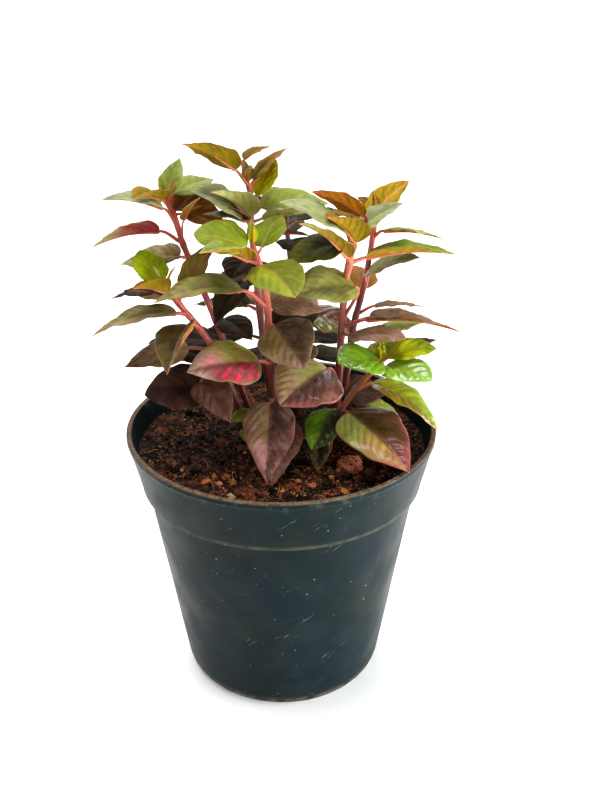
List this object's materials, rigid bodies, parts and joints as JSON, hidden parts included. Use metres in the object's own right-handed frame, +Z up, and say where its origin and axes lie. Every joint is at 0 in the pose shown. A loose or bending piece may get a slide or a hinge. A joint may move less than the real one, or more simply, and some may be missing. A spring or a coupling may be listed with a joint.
{
  "type": "potted alternanthera",
  "caption": "Bushy foliage plant with opposite pointed leaves in green, olive, plum and pink, standing in soil in a round tapered nursery pot with a wide rim band.",
  "frame": {"origin": "middle of the pot's flat bottom, on the surface it stands on", "axes": "+Z up along the pot's axis, -Y towards the viewer of the picture, +X to the viewer's right"},
  "size_m": [0.1685, 0.1512, 0.2689],
  "materials": {
    "pot": "satin injection-moulded plastic, very dark blue green, scuffed",
    "potting_soil": "damp crumbly potting soil with reddish bark crumbs",
    "leafy_stem_front": "soft matt leaf, olive green above with plum and pink splashes",
    "leafy_stem_back_tall": "soft matt leaf, olive gold with lime green young leaves",
    "leafy_stem_left_tall": "soft matt leaf, pale green above and burgundy brown under",
    "leafy_stem_left_low": "soft matt leaf, dark olive and dark maroon",
    "leafy_stem_right": "soft matt leaf, pale green with tan pink blades",
    "leafy_stem_right_back": "soft matt leaf, pale green and golden olive",
    "leafy_shoot_right_low": "glossy quilted leaf, bright green with a maroon half",
    "leafy_stem_rear": "soft matt leaf in shade, dark green and brown"
  },
  "bodies": {
    "root": {"pot": "pot", "potting_soil": "potting_soil", "leafy_stem_front": "leafy_stem_front", "leafy_stem_back_tall": "leafy_stem_back_tall", "leafy_stem_left_tall": "leafy_stem_left_tall", "leafy_stem_left_low": "leafy_stem_left_low", "leafy_stem_right": "leafy_stem_right", "leafy_stem_right_back": "leafy_stem_right_back", "leafy_shoot_right_low": "leafy_shoot_right_low", "leafy_stem_rear": "leafy_stem_rear"}
  },
  "joints": []
}
